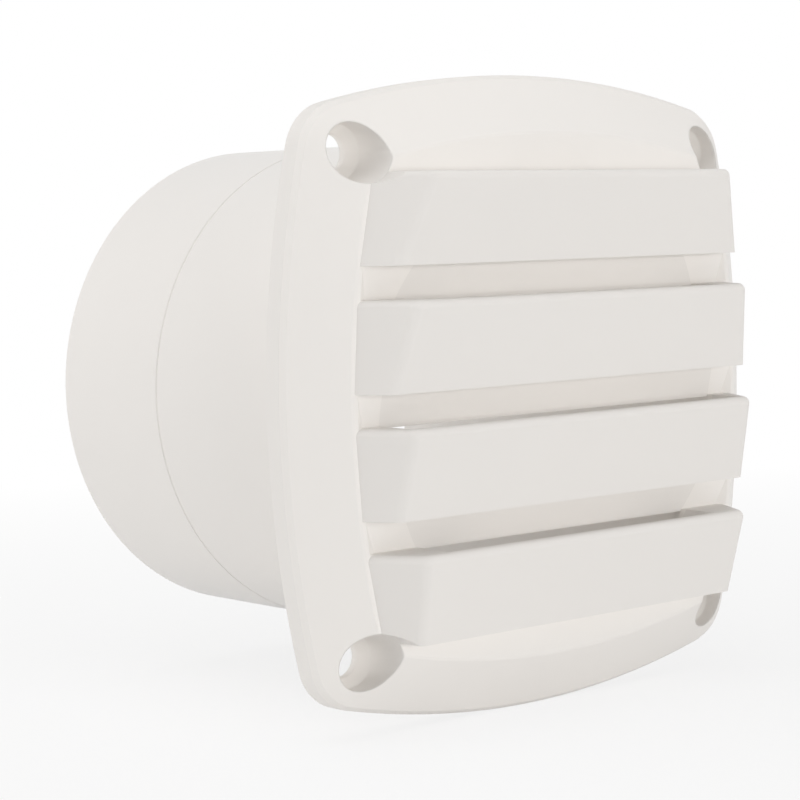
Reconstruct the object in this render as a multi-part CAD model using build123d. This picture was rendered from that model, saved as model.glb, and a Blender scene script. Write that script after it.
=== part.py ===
# Square louvred hull vent: a domed face plate with four hooded louvres in front of a round
# duct collar, and a sleeve that lengthens the collar behind it.
# Millimetres. +Z is up, the louvres face -Y, and the collar runs back along +Y.
# The origin is on the collar's axis, in the plane where the plate meets the hull.
#
# Each piece is drawn with the vent lying on its back: Y up the plate, and Z out of the hull
# towards the louvres, so a height is a distance in front of the hull. It is stood up when saved.
import os
from math import atan, atan2, cos, degrees, radians, sin

from build123d import *

# Face plate
plate_size = 125.4
side_bow = 7.5
plate_corner_radius = 10.8
rim_depth = 4.4
rim_wall = 2.4
rim_edge_chamfer = 0.7
face_height = 12.5
face_side_inset = 10.2
face_end_inset = 11.5
face_bow = 6.0
face_corner_radius = 8.0
face_wall = 2.8
crease_radius = 1.2

# Screw recesses in the plate's corners
screw_spacing = 95.0
screw_hole_radius = 3.6
screw_seat_height = 1.4
screw_seat_rise = 2.4
recess_floor_radius = 5.2
recess_mouth_radius = 6.0
boss_wall = 1.7
web_thickness = 1.6

# Louvres, counted from the top
louver_count = 4
louver_pitch = 23.4
louver_height = 17.1
hood_top_reach = 10.25
hood_bottom_reach = 6.5
hood_wall = 2.2
hood_end_lean = 30.2
hood_end_inset = 0.4
hood_top_radius = 1.4
hood_end_radius = 2.4
lip_recess = 1.3
lip_wall = 2.2
lip_overlap = 0.4
band_mouth_inset = 1.1
band_floor_inset = 3.1

# Duct
vent_opening_radius = 45.5
collar_diameter = 101.6
duct_wall = 2.5
collar_length = 52.0
collar_root_step = 1.1
sleeve_length = 34.3
spigot_length = 9.0
spigot_wall = 1.25
seam_chamfer = 0.25
hose_end_chamfer = 0.8
socket_wall = 2.2
fit_clearance = 0.05

# Sizes that follow from the driving dimensions
face_width = plate_size - 2 * face_side_inset
face_length = plate_size - 2 * face_end_inset
face_back = face_height - face_wall
side_slope = (face_height - rim_depth) / face_side_inset
cavity_rim = rim_depth + rim_wall * side_slope - face_wall
louver_top = ((louver_count - 1) * louver_pitch + louver_height) / 2
hood_slope = (hood_top_reach - hood_bottom_reach) / louver_height
collar_radius = collar_diameter / 2
duct_radius = collar_radius - duct_wall
spigot_radius = duct_radius + spigot_wall
root_radius = collar_radius - collar_root_step
socket_radius = root_radius + fit_clearance
face_side_radius = ((face_length / 2 - face_bow) ** 2 + face_bow**2) / (2 * face_bow)
beyond = 2 * plate_size


def bowed_outline(width, length, bow, corner_radius):
    """Rectangle whose four sides bow outward by the same amount, with rounded corners."""
    right = width / 2 - bow
    top = length / 2 - bow
    sides = [
        ThreePointArc((-right, top), (0, length / 2), (right, top)),
        ThreePointArc((right, top), (width / 2, 0), (right, -top)),
        ThreePointArc((right, -top), (0, -length / 2), (-right, -top)),
        ThreePointArc((-right, -top), (-width / 2, 0), (-right, top)),
    ]
    outline = make_face(sides)
    return fillet(outline.vertices(), corner_radius)


def domed_body(wall, rim_top, face_top, chamfer_size=0):
    """The plate's outer form, or its cavity: a straight rim under sides that slope to the face."""
    base_size = plate_size - 2 * wall
    base = bowed_outline(base_size, base_size, side_bow, plate_corner_radius - wall)
    rise = chamfer_size * side_slope
    part_way = rise / (face_top - rim_top)
    foot = bowed_outline(
        between(base_size, face_width, part_way),
        between(base_size, face_length, part_way),
        between(side_bow, face_bow, part_way),
        between(plate_corner_radius - wall, face_corner_radius, part_way),
    )
    face = bowed_outline(face_width, face_length, face_bow, face_corner_radius)
    rim_height = rim_top - chamfer_size
    body = extrude(base, rim_height)
    if chamfer_size:
        body += loft([Pos(0, 0, rim_height) * base, Pos(0, 0, rim_top + rise) * foot], ruled=True)
    return body + loft([Pos(0, 0, rim_top + rise) * foot, Pos(0, 0, face_top) * face], ruled=True)


def between(start, end, part_way):
    return start + (end - start) * part_way


def disc(radius, low, high):
    """Cylinder on the duct's axis between two heights."""
    return Pos(0, 0, low) * extrude(Circle(radius), high - low)


def cone(start_radius, end_radius, height):
    """Cone on the duct's axis, from the hull plane forward."""
    return Pos(0, 0, height / 2) * Cone(start_radius, end_radius, height)


def bar(profile, half_length):
    """Prism across the plate from points that give place up the plate and height."""
    section = make_face(Polyline(*profile, close=True))
    return extrude(Plane.YZ * section, half_length, both=True)


def face_edge(y):
    """Distance from the middle to the bowed side of the flat face at a place up the plate."""
    return face_width / 2 - face_side_radius + (face_side_radius**2 - y**2) ** 0.5


def cut_ends(body, upper, lower, inset, lean, wall=0):
    """Cut a body's two ends along the face's sides, leaning inward by an angle with height."""
    for side in (-1, 1):
        top = Vector(side * (face_edge(upper) - inset), upper, face_height)
        foot = Vector(side * (face_edge(lower) - inset), lower, face_height)
        outward = (top - foot).cross(Vector(0, 0, side)).normalized()
        normal = outward * cos(radians(lean)) + Vector(0, 0, sin(radians(lean)))
        body = split(body, Plane(top - normal * wall, z_dir=normal), keep=Keep.BOTTOM)
    return body


def louver_edges(number):
    """Top and bottom of a hood's front, and the top of the gap's far side below it."""
    top = louver_top - number * louver_pitch
    return top, top - louver_height, top - louver_pitch


def screw_places():
    half = screw_spacing / 2
    return [(side * half, end * half) for side in (-1, 1) for end in (-1, 1)]


def screw_recess():
    """Bore, coned seat and tapered well of one screw, from behind the plate to in front of it."""
    seat_top = screw_seat_height + screw_seat_rise
    outline = Polyline(
        (0, -1),
        (screw_hole_radius, -1),
        (screw_hole_radius, screw_seat_height),
        (recess_floor_radius, seat_top),
        (recess_mouth_radius, face_height),
        (recess_mouth_radius, face_height + 2 * hood_top_reach),
        (0, face_height + 2 * hood_top_reach),
        close=True,
    )
    return revolve(Plane.XZ * make_face(outline), Axis.Z)


def band_recess(number):
    """Sloping band cut into the face below a hood, deepest at the next hood's top."""
    _, bottom, next_top = louver_edges(number)
    wedge = bar(
        [
            (bottom, face_height),
            (next_top, face_height - lip_recess),
            (next_top, face_height + face_wall),
            (bottom, face_height + face_wall),
        ],
        beyond,
    )
    lean = -degrees(atan((band_floor_inset - band_mouth_inset) / lip_recess))
    return cut_ends(wedge, bottom, next_top, band_mouth_inset, lean)


def face_plate():
    """Domed plate with screw wells, the vent opening, the collar's socket and a hollow back."""
    outer = domed_body(0, rim_depth, face_height, rim_edge_chamfer)
    outer = fillet(outer.edges().group_by(Axis.Z)[-1], crease_radius)

    plate = outer - domed_body(rim_wall, cavity_rim, face_back)
    plate += disc(socket_radius + socket_wall, 0, face_back)
    plate -= disc(socket_radius, -face_wall, face_back)
    plate -= cone(collar_radius + fit_clearance, socket_radius, collar_root_step)

    boss = extrude(Circle(recess_mouth_radius + boss_wall), face_height)
    for x, y in screw_places():
        plate += boss_web(x, y) & outer
        plate += Pos(x, y, 0) * boss & outer
    well = screw_recess()
    for x, y in screw_places():
        plate -= Pos(x, y, 0) * well

    opening_low = hood_wall - louver_top
    opening = Rectangle(beyond, louver_top - opening_low, align=(Align.CENTER, Align.MIN))
    plate -= disc(vent_opening_radius, -face_wall, 2 * face_height) & extrude(
        Pos(0, opening_low, 0) * opening, face_height, both=True
    )
    for number in range(louver_count - 1):
        plate -= band_recess(number)
    return plate


def boss_web(x, y):
    """Thin web that ties a screw boss to the collar's socket."""
    reach = (x**2 + y**2) ** 0.5
    start = socket_radius + socket_wall / 2
    web = Pos((start + reach) / 2, 0, 0) * Rectangle(reach - start, web_thickness)
    clear_well = Pos(reach, 0, 0) * Circle(recess_mouth_radius)
    turn = Rot(0, 0, degrees(atan2(y, x)))
    return turn * extrude(web - clear_well, face_height)


def louver(number):
    """One hood, open at its top and back inside the duct, with the lip that hangs behind the next."""
    top, bottom, next_top = louver_edges(number)
    front_top = face_height + hood_top_reach
    front_bottom = face_height + hood_bottom_reach
    outside = bar(
        [(top, face_height), (top, front_top), (bottom, front_bottom), (bottom, face_height)],
        beyond,
    )
    hood = cut_ends(outside, top, bottom, hood_end_inset, hood_end_lean)
    hood = rounded_hood(hood, top, bottom)
    well = screw_recess()
    for x, y in screw_places():
        hood -= Pos(x, y, 0) * well

    inner_low = bottom + hood_wall
    core = hood_inside(inner_low, top - hood_wall, front_bottom, bottom)
    hood -= cut_ends(core, top, bottom, hood_end_inset, hood_end_lean, hood_wall)
    hood -= hood_inside(inner_low, top + hood_wall, front_bottom, bottom) & disc(
        vent_opening_radius, 0, 2 * face_height
    )

    if number < louver_count - 1:
        lip_end = next_top - lip_overlap
        lip = bar(
            [
                (bottom, front_bottom - hood_wall),
                (bottom, face_height),
                (next_top, face_height - lip_recess),
                (lip_end, face_height - lip_recess),
                (lip_end, face_height - lip_recess - lip_wall),
                (inner_low, face_height - lip_wall),
                (inner_low, front_bottom - hood_wall),
            ],
            beyond,
        )
        hood += lip & disc(vent_opening_radius, 0, 2 * face_height)
    return hood


def hood_inside(low, high, front_bottom, bottom):
    """Prism behind a hood's front wall between two places up the plate."""
    wall = hood_wall * (1 + hood_slope**2) ** 0.5
    front = [(y, front_bottom + (y - bottom) * hood_slope - wall) for y in (low, high)]
    return bar([(low, 0), front[0], front[1], (high, 0)], beyond)


def rounded_hood(hood, top, bottom):
    """Round a hood's ends, then its top edge; its ledge stays sharp, as on the moulding."""
    near = fit_clearance

    def front_edges(test):
        return [e for e in hood.edges() if e.center().Z > face_height + near and test(e.center())]

    hood = fillet(front_edges(lambda c: abs(c.X) > near and bottom + near < c.Y < top - near), hood_end_radius)
    return fillet(front_edges(lambda c: c.Y > top - near), hood_top_radius)


def collar():
    """Front length of the duct, seated in the plate's socket, with a spigot for the sleeve."""
    tube = disc(collar_radius, -collar_length, 0)
    tube = chamfer(tube.edges().group_by(Axis.Z)[0], seam_chamfer)
    tube += disc(root_radius, 0, face_back) + cone(collar_radius, root_radius, collar_root_step)
    tube += disc(spigot_radius, -collar_length - spigot_length, 0)
    return tube - disc(duct_radius, -beyond, beyond)


def sleeve():
    """Rear length of the duct, pushed over the collar's spigot; the hose goes over both."""
    rear = -collar_length - sleeve_length
    tube = disc(collar_radius, rear, -collar_length)
    tube = chamfer(tube.edges().group_by(Axis.Z)[-1], seam_chamfer)
    tube = chamfer(tube.edges().group_by(Axis.Z)[0], hose_end_chamfer)
    tube -= disc(duct_radius, -beyond, beyond)
    socket_end = -collar_length - spigot_length - fit_clearance
    return tube - disc(spigot_radius + fit_clearance, socket_end, 0)


def save(piece, name):
    """Stand a piece up, louvres facing -Y, and write it."""
    piece = Rot(90, 0, 0) * piece
    export_step(piece, os.path.join("parts", name + ".step"))


os.makedirs("parts", exist_ok=True)
save(face_plate(), "face_plate")
for number in range(louver_count):
    save(louver(number), f"louver_{number + 1}")
save(collar(), "collar")
save(sleeve(), "collar_sleeve")
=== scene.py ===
"""Finishes and studio for a louvred hull vent, laid out as an add-on and run as a script."""

from math import cos, radians, sin

import bmesh
import bpy
from bpy.props import FloatProperty, FloatVectorProperty, PointerProperty
from mathutils import Matrix, Vector


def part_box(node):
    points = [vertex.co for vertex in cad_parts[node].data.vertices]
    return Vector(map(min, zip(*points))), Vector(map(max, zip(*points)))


bl_info = {
    "name": "Louvred Hull Vent",
    "version": (1, 0, 0),
    "blender": (4, 5, 0),
    "location": "3D View > Sidebar > Vent",
    "description": "Moulded plastic finishes and a pale studio for a louvred hull vent",
    "category": "Object",
}

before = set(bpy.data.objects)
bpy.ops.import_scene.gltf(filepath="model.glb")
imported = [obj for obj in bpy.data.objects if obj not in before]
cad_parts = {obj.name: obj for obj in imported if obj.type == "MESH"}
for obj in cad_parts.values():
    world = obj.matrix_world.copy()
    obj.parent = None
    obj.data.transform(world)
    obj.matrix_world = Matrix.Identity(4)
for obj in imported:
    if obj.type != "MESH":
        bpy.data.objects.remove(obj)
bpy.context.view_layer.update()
plate_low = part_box("face_plate")[0]

LOUVERS = sorted(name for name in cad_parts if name.startswith("louver_"))

# Mix node: the places of its two inputs and of its result, by what it mixes
MIX_SOCKETS = {"RGBA": (6, 7, 2), "VECTOR": (4, 5, 1)}

# Moulded plastic
REFRACTION = 1.5
DRIFT_DETAIL = 3.0
DRIFT_CONTRAST = 1.6
DRIFT_CUT = 0.3
SPECK_SCALE = 2.5
SPECK_ROUGHNESS = 0.04
BEVEL_SAMPLES = 8
COLLAR_SEED = (0.4, 0.1, 0.7)
SLEEVE_SEED = (1.3, 0.6, 0.2)

# Floor and background
WHITE = (1.0, 1.0, 1.0, 1.0)

# Lamps: where each stands, and its width and height, in metres
FRONT_LAMP = ((0.02, -0.88, 0.05), 0.9, 0.2)
SIDE_LAMP = ((-0.75, 0.42, 0.0), 0.6, 0.1)
TOP_LAMP = ((-0.12, 0.0, 0.4), 0.4, 0.4)
BACK_LAMP = ((0.0, 1.2, 0.0), 0.3, 0.1)

# Camera: sensor width in millimetres, and the nearest distance seen in metres
SENSOR_WIDTH = 36.0
NEAREST_SEEN = 0.01


# Shader building


class Wire:
    """A shader socket that does arithmetic by adding Math nodes."""

    def __init__(self, shader, socket):
        self.shader = shader
        self.socket = socket

    def _math(self, operation, *values, clamp=False):
        settings = {"operation": operation, "use_clamp": clamp}
        return self.shader.node("ShaderNodeMath", settings, *values)

    def __add__(self, other):
        return self._math("ADD", self, other)

    def __radd__(self, other):
        return self._math("ADD", other, self)

    def __sub__(self, other):
        return self._math("SUBTRACT", self, other)

    def __rsub__(self, other):
        return self._math("SUBTRACT", other, self)

    def __mul__(self, other):
        return self._math("MULTIPLY", self, other)

    def __truediv__(self, other):
        return self._math("DIVIDE", self, other)

    def clipped(self):
        """The value held between 0 and 1."""
        return self._math("ADD", self, 0.0, clamp=True)

    def size(self):
        """The value without its sign."""
        return self._math("ABSOLUTE", self)

    def root(self):
        """The square root of the value."""
        return self._math("SQRT", self)

    def larger(self, other):
        """The larger of the two values."""
        return self._math("MAXIMUM", self, other)


class Shader:
    """The node tree of one material or of the world."""

    def __init__(self, tree):
        self.tree = tree
        tree.nodes.clear()

    def node(self, kind, settings, *inputs, out=0, **named):
        """Adds a node: its settings first, then its inputs by place or by name."""
        made = self.tree.nodes.new(kind)
        for name, value in settings.items():
            setattr(made, name, value)
        for place, value in enumerate(inputs):
            self.feed(made.inputs[place], value)
        for name, value in named.items():
            self.feed(made.inputs[name.replace("_", " ")], value)
        return Wire(self, made.outputs[out]) if made.outputs else None

    def feed(self, socket, value):
        """Links a wire to a socket, or sets the socket's own value."""
        if isinstance(value, Wire):
            self.tree.links.new(value.socket, socket)
        else:
            socket.default_value = value

    def noise(self, place, size, detail=2.0):
        """Soft noise whose features are about size metres across."""
        return self.node("ShaderNodeTexNoise", {}, Vector=place, Scale=1.0 / size, Detail=detail)

    def mix(self, kind, factor, first, second):
        """Something between two colours or, of the kind VECTOR, between two directions."""
        near, far, result = MIX_SOCKETS[kind]
        mixed = self.node("ShaderNodeMix", {"data_type": kind}, factor, out=result)
        sockets = mixed.socket.node.inputs
        self.feed(sockets[near], first)
        self.feed(sockets[far], second)
        return mixed

    def along(self, place, axis):
        """One coordinate of a place."""
        return self.node("ShaderNodeSeparateXYZ", {}, place, out=axis)

    def bump(self, facing, height, depth):
        """A direction roughened by a height that runs from 0 to 1."""
        return self.node(
            "ShaderNodeBump", {}, Strength=1.0, Distance=depth, Height=height, Normal=facing
        )


def new_material(name):
    """An empty node material and its shader."""
    material = bpy.data.materials.new(name)
    material.use_nodes = True
    return material, Shader(material.node_tree)


def shade(colour, factor):
    """A colour made lighter or darker, with its alpha kept."""
    return tuple(min(1.0, value * factor) for value in colour[:3]) + (1.0,)


def moulded_plastic(
    name, finish, roughness, tone=1.0, grained=True, soft_wells=False, seed=(0, 0, 0)
):
    """Pale plastic with faint tone drift, a gloss that varies and, where grained, a fine skin."""
    material, shader = new_material(name)
    upright = shader.node("ShaderNodeTexCoord", {}, out="Object")
    place = shader.node("ShaderNodeMapping", {}, upright, Location=seed)
    drift = shader.noise(place, finish.drift_size, detail=DRIFT_DETAIL)
    # The tone factor scales the colour; for the louvres it is partly their own tone and partly
    # painted shade
    light = shade(finish.colour, tone)
    dark = shade(finish.colour, tone * (1.0 - finish.drift))
    patch = (drift * DRIFT_CONTRAST - DRIFT_CUT).clipped()
    colour = shader.mix("RGBA", patch, dark, light)
    sheen = roughness + (drift - 0.5) * finish.roughness_drift
    facing = shader.node("ShaderNodeNewGeometry", {}, out="Normal")
    if soft_wells:
        near = near_wells(shader, upright, finish)
        facing = shader.mix("VECTOR", near, facing, soft_edge(shader, finish))
    if grained:
        ripple = shader.noise(place, finish.ripple_size, detail=1.0)
        facing = shader.bump(facing, ripple, finish.ripple_height)
        grain = shader.noise(place, finish.grain_size)
        facing = shader.bump(facing, grain, finish.grain_height)
        speck = shader.noise(place, finish.grain_size * SPECK_SCALE, detail=1.0)
        sheen = sheen + (speck - 0.5) * SPECK_ROUGHNESS
    surface = shader.node(
        "ShaderNodeBsdfPrincipled",
        {},
        Base_Color=colour,
        Roughness=sheen.clipped(),
        Normal=facing,
        IOR=REFRACTION,
    )
    shader.node("ShaderNodeOutputMaterial", {}, surface)
    return material


def near_wells(shader, place, finish):
    """1 close to the axis of a screw well, and 0 away from the four of them."""
    across, up = (shader.along(place, axis).size() - finish.well_offset for axis in ("X", "Z"))
    away = (across * across + up * up).root()
    return ((finish.well_reach - away) / finish.well_blend).clipped()


def soft_edge(shader, finish):
    """Surface direction with the sharp edges rounded."""
    return shader.node("ShaderNodeBevel", {"samples": BEVEL_SAMPLES}, Radius=finish.well_softness)


def dress(node, material):
    """Gives one moulded piece its finish."""
    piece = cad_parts[node]
    piece.data.materials.clear()
    piece.data.materials.append(material)


# Sizes and colours a user can change


class VentFinishSettings(bpy.types.PropertyGroup):
    """White moulded plastic of the vent."""

    colour: FloatVectorProperty(
        name="Colour",
        description="Colour of the moulded plastic",
        subtype="COLOR",
        size=4,
        min=0.0,
        max=1.0,
        default=(0.88, 0.85, 0.815, 1.0),
    )
    drift: FloatProperty(
        name="Tone drift",
        description="How much darker the plastic gets in places",
        subtype="FACTOR",
        min=0.0,
        max=0.2,
        default=0.012,
    )
    drift_size: FloatProperty(
        name="Drift size", description="Width of a patch of tone", unit="LENGTH", default=0.035
    )
    face_roughness: FloatProperty(
        name="Face roughness",
        description="Roughness of the plate and louvres",
        subtype="FACTOR",
        min=0.0,
        max=1.0,
        default=0.5,
    )
    duct_roughness: FloatProperty(
        name="Duct roughness",
        description="Roughness of the collar and its sleeve",
        subtype="FACTOR",
        min=0.0,
        max=1.0,
        default=0.32,
    )
    well_offset: FloatProperty(
        name="Well offset",
        description="From the middle to a screw well, each way",
        unit="LENGTH",
        default=0.0475,
    )
    well_reach: FloatProperty(
        name="Well reach",
        description="How far from a well's axis its edges are soft",
        unit="LENGTH",
        default=0.0082,
    )
    well_blend: FloatProperty(
        name="Well blend",
        description="Width over which the softness fades",
        unit="LENGTH",
        default=0.0006,
    )
    well_softness: FloatProperty(
        name="Well softness",
        description="Radius of a well's soft edges",
        unit="LENGTH",
        default=0.0006,
    )
    roughness_drift: FloatProperty(
        name="Roughness drift",
        description="How much the roughness varies over the surface",
        subtype="FACTOR",
        min=0.0,
        max=0.5,
        default=0.06,
    )
    ripple_size: FloatProperty(
        name="Ripple size",
        description="Width of the mould's slow waves",
        unit="LENGTH",
        default=0.011,
    )
    ripple_height: FloatProperty(
        name="Ripple height",
        description="Depth of the mould's slow waves",
        unit="LENGTH",
        default=0.00003,
    )
    grain_size: FloatProperty(
        name="Grain size",
        description="Width of the mould's fine grain",
        unit="LENGTH",
        default=0.0007,
    )
    grain_height: FloatProperty(
        name="Grain height",
        description="Depth of the mould's fine grain",
        unit="LENGTH",
        default=0.000004,
    )
    # Louvre tone: partly the louvres' own greyer tone, partly painted shade that darkens them to
    # stand in for the dimmer light on their fronts
    louver_tone_and_shade: FloatProperty(
        name="Louvre tone",
        description="Tone of the louvres against the plate",
        min=0.5,
        max=1.1,
        default=0.94,
    )
    sleeve_tone: FloatProperty(
        name="Sleeve tone",
        description="Tone of the rear length of the duct",
        min=0.5,
        max=1.1,
        default=1.01,
    )


class VentStageSettings(bpy.types.PropertyGroup):
    """Floor, daylight and lamps around the vent."""

    floor_size: FloatProperty(
        name="Floor size", description="Side of the square floor", unit="LENGTH", default=8.0
    )
    floor_colour: FloatVectorProperty(
        name="Floor colour",
        description="Colour of the floor where light falls on it",
        subtype="COLOR",
        size=4,
        min=0.0,
        max=1.0,
        default=(0.9, 0.9, 0.9, 1.0),
    )
    floor_shadow: FloatProperty(
        name="Floor shadow",
        description="How much of the object's shadow shows on the white floor",
        subtype="FACTOR",
        min=0.0,
        max=1.0,
        default=0.25,
    )
    shadow_reach: FloatProperty(
        name="Shadow reach",
        description="How far out the floor shows shadow",
        unit="LENGTH",
        default=0.45,
    )
    daylight: FloatProperty(
        name="Daylight",
        description="Strength of the even light all round",
        min=0.0,
        max=2.0,
        default=0.36,
    )
    front_power: FloatProperty(
        name="Front lamp", description="Power of the low lamp in front", unit="POWER", default=3.7
    )
    side_power: FloatProperty(
        name="Side lamp", description="Power of the low lamp at the left", unit="POWER", default=2.1
    )
    top_power: FloatProperty(
        name="Top lamp", description="Power of the lamp close above", unit="POWER", default=0.72
    )
    back_power: FloatProperty(
        name="Back lamp",
        description="Power of the lamp behind the open duct",
        unit="POWER",
        default=5.0,
    )


class VentCameraSettings(bpy.types.PropertyGroup):
    """Where the picture is taken from."""

    azimuth: FloatProperty(
        name="Azimuth",
        description="Turn of the view about the upright",
        unit="ROTATION",
        default=radians(-40.949),
    )
    elevation: FloatProperty(
        name="Elevation",
        description="Height of the view above level",
        unit="ROTATION",
        default=radians(4.383),
    )
    roll: FloatProperty(
        name="Roll",
        description="Lean of the camera to one side",
        unit="ROTATION",
        default=radians(-1.309),
    )
    distance: FloatProperty(
        name="Distance",
        description="From the camera to the point it looks at",
        unit="LENGTH",
        default=0.470128,
    )
    aim_across: FloatProperty(
        name="Aim across",
        description="Where the camera looks, across the view",
        unit="LENGTH",
        default=-0.022896,
    )
    aim_up: FloatProperty(
        name="Aim up",
        description="Where the camera looks, up the view",
        unit="LENGTH",
        default=-0.001237,
    )
    lens: FloatProperty(
        name="Lens", description="Focal length in millimetres on a 36 mm sensor", default=105.376
    )


# Pieces


class VENT_OT_plate(bpy.types.Operator):
    """Finish the domed face plate"""

    bl_idname = "vent.plate"
    bl_label = "Face plate"

    def execute(self, context):
        finish = context.scene.vent_finish
        plastic = moulded_plastic("plate_plastic", finish, finish.face_roughness, soft_wells=True)
        dress("face_plate", plastic)
        return {"FINISHED"}


class VENT_OT_louvers(bpy.types.Operator):
    """Finish the louvre hoods"""

    bl_idname = "vent.louvers"
    bl_label = "Louvres"

    def execute(self, context):
        finish = context.scene.vent_finish
        # The louvres' colour is scaled by the louvre tone: partly their own tone, partly painted
        # shade
        plastic = moulded_plastic(
            "louver_plastic", finish, finish.face_roughness, finish.louver_tone_and_shade
        )
        for node in LOUVERS:
            dress(node, plastic)
        return {"FINISHED"}


class VENT_OT_duct(bpy.types.Operator):
    """Finish the two lengths of the round duct"""

    bl_idname = "vent.duct"
    bl_label = "Collar and sleeve"

    def execute(self, context):
        finish = context.scene.vent_finish
        look = {"roughness": finish.duct_roughness, "grained": False}
        collar = moulded_plastic("collar_plastic", finish, **look, seed=COLLAR_SEED)
        dress("collar", collar)
        sleeve = moulded_plastic(
            "sleeve_plastic", finish, **look, tone=finish.sleeve_tone, seed=SLEEVE_SEED
        )
        dress("collar_sleeve", sleeve)
        return {"FINISHED"}


class VENT_OT_stage(bpy.types.Operator):
    """Lay the pale floor and light the studio"""

    bl_idname = "vent.stage"
    bl_label = "Floor and light"

    def execute(self, context):
        stage = context.scene.vent_stage
        self.lay_floor(stage)
        self.light_world(context.scene, stage)
        self.add_lamp("front_lamp", *FRONT_LAMP, stage.front_power)
        self.add_lamp("side_lamp", *SIDE_LAMP, stage.side_power)
        self.add_lamp("top_lamp", *TOP_LAMP, stage.top_power)
        self.add_lamp("back_lamp", *BACK_LAMP, stage.back_power)
        return {"FINISHED"}

    def lay_floor(self, stage):
        """A white floor that shows some of the object's shadow close to it."""
        form = bmesh.new()
        below = Matrix.Translation((0.0, 0.0, plate_low[2]))
        reach = stage.floor_size / 2
        bmesh.ops.create_grid(form, x_segments=1, y_segments=1, size=reach, matrix=below)
        mesh = bpy.data.meshes.new("floor")
        form.to_mesh(mesh)
        form.free()
        floor = bpy.data.objects.new("floor", mesh)
        bpy.context.scene.collection.objects.link(floor)
        material, shader = new_material("white_floor")
        place = shader.node("ShaderNodeTexCoord", {}, out="Object")
        away = shader.node("ShaderNodeVectorMath", {"operation": "LENGTH"}, place, out="Value")
        shadow = (1.0 - away / stage.shadow_reach).clipped() * stage.floor_shadow
        white = shader.node("ShaderNodeEmission", {}, Color=WHITE, Strength=1.0)
        matt = shader.node("ShaderNodeBsdfDiffuse", {}, Color=stage.floor_colour)
        seen = self.seen_directly(shader)
        surface = shader.node("ShaderNodeMixShader", {}, seen * (1.0 - shadow), matt, white)
        shader.node("ShaderNodeOutputMaterial", {}, surface)
        mesh.materials.append(material)

    def light_world(self, scene, stage):
        """Even light all round, behind a white background."""
        world = bpy.data.worlds.new("studio")
        world.use_nodes = True
        scene.world = world
        shader = Shader(world.node_tree)
        seen = self.seen_directly(shader)
        strength = stage.daylight + seen * (1.0 - stage.daylight)
        sky = shader.node("ShaderNodeBackground", {}, Color=WHITE, Strength=strength)
        shader.node("ShaderNodeOutputWorld", {}, sky)

    def seen_directly(self, shader):
        """1 for what the camera sees, straight or in a gloss or through glass."""
        camera = shader.node("ShaderNodeLightPath", {}, out="Is Camera Ray")
        path = camera.socket.node
        gloss = Wire(shader, path.outputs["Is Glossy Ray"])
        through = Wire(shader, path.outputs["Is Transmission Ray"])
        return camera.larger(gloss).larger(through)

    def add_lamp(self, name, place, width, height, power):
        """A soft lamp that looks at the origin and does not show in the gloss."""
        lamp = bpy.data.lights.new(name, "AREA")
        lamp.shape = "RECTANGLE"
        lamp.size = width
        lamp.size_y = height
        lamp.energy = power
        shown = bpy.data.objects.new(name, lamp)
        shown.location = place
        shown.visible_camera = False
        shown.visible_glossy = False
        shown.rotation_euler = (-Vector(place)).to_track_quat("-Z", "Y").to_euler()
        bpy.context.scene.collection.objects.link(shown)


class VENT_OT_camera(bpy.types.Operator):
    """Place the camera at the picture's viewpoint"""

    bl_idname = "vent.camera"
    bl_label = "Camera"

    def execute(self, context):
        view = context.scene.vent_camera
        az, el = view.azimuth, view.elevation
        ahead = Vector((-sin(az) * cos(el), cos(az) * cos(el), -sin(el)))
        level = Vector((cos(az), sin(az), 0.0))
        above = level.cross(ahead)
        right = level * cos(view.roll) + above * sin(view.roll)
        up = above * cos(view.roll) - level * sin(view.roll)
        eye = level * view.aim_across + above * view.aim_up - ahead * view.distance
        turn = Matrix((right, up, -ahead)).transposed()
        data = bpy.data.cameras.new("view")
        data.lens = view.lens
        data.sensor_width = SENSOR_WIDTH
        data.clip_start = NEAREST_SEEN
        camera = bpy.data.objects.new("view", data)
        camera.matrix_world = Matrix.Translation(eye) @ turn.to_4x4()
        context.scene.collection.objects.link(camera)
        context.scene.camera = camera
        context.scene.view_settings.view_transform = "Standard"
        return {"FINISHED"}


class VENT_PT_panel(bpy.types.Panel):
    """Finishes, studio and camera of the vent"""

    bl_idname = "VENT_PT_panel"
    bl_label = "Louvred vent"
    bl_space_type = "VIEW_3D"
    bl_region_type = "UI"
    bl_category = "Vent"

    def draw(self, context):
        for settings in GROUPS:
            group = getattr(context.scene, settings)
            box = self.layout.box()
            for name in group.__annotations__:
                box.prop(group, name)
        for step in STEPS:
            self.layout.operator(step.bl_idname)


STEPS = (VENT_OT_plate, VENT_OT_louvers, VENT_OT_duct, VENT_OT_stage, VENT_OT_camera)
GROUPS = {
    "vent_finish": VentFinishSettings,
    "vent_stage": VentStageSettings,
    "vent_camera": VentCameraSettings,
}


def register():
    for group in GROUPS.values():
        bpy.utils.register_class(group)
    for name, group in GROUPS.items():
        setattr(bpy.types.Scene, name, PointerProperty(type=group))
    for cls in STEPS + (VENT_PT_panel,):
        bpy.utils.register_class(cls)


def unregister():
    for cls in (VENT_PT_panel,) + STEPS:
        bpy.utils.unregister_class(cls)
    for name in GROUPS:
        delattr(bpy.types.Scene, name)
    for group in GROUPS.values():
        bpy.utils.unregister_class(group)


def main():
    """Builds the whole scene, one step after another."""
    register()
    bpy.ops.vent.plate()
    bpy.ops.vent.louvers()
    bpy.ops.vent.duct()
    bpy.ops.vent.stage()
    bpy.ops.vent.camera()


if __name__ == "__main__":
    main()
